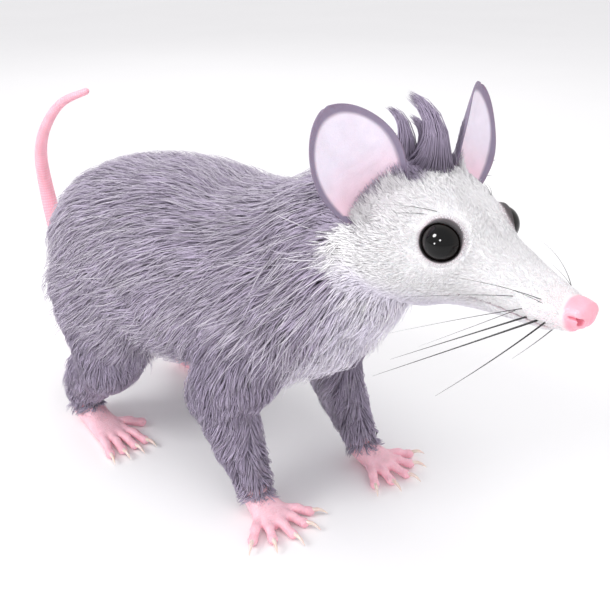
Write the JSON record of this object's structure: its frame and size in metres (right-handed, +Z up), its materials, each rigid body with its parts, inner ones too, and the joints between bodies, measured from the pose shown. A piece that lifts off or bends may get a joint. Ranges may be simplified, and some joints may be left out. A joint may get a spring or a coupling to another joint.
{
  "type": "opossum",
  "caption": "Life-size still model of a standing opossum, with long tapering snout, bare round ears, shaggy grey coat, spread toes and a raised bare tail.",
  "frame": {"origin": "middle of the model's box in plan, on the floor that the soles stand on", "axes": "+X forward from tail to nose, +Y to the animal's left, +Z up"},
  "size_m": [0.5222, 0.154, 0.2614],
  "materials": {
    "coat": "long coarse grey fur with pale tips",
    "leg_fur": "shorter dark grey fur",
    "face_fur": "short white fur",
    "bare_skin": "bare pink skin",
    "ear_skin": "thin bare skin, grey behind and pale inside",
    "eye": "wet black"
  },
  "bodies": {
    "root": {"torso": "coat", "neck": "coat", "head": "face_fur", "lower_jaw": "face_fur", "nose": "bare_skin", "eye_left": "eye", "eye_right": "eye", "ear_left": "ear_skin", "ear_right": "ear_skin", "foreleg_left": "leg_fur", "foreleg_right": "leg_fur", "hindleg_left": "leg_fur", "hindleg_right": "leg_fur", "forefoot_left": "bare_skin", "forefoot_right": "bare_skin", "hindfoot_left": "bare_skin", "hindfoot_right": "bare_skin", "tail_base": "bare_skin", "tail_low": "bare_skin", "tail_bend": "bare_skin", "tail_rise": "bare_skin", "tail_tip": "bare_skin"}
  },
  "joints": []
}
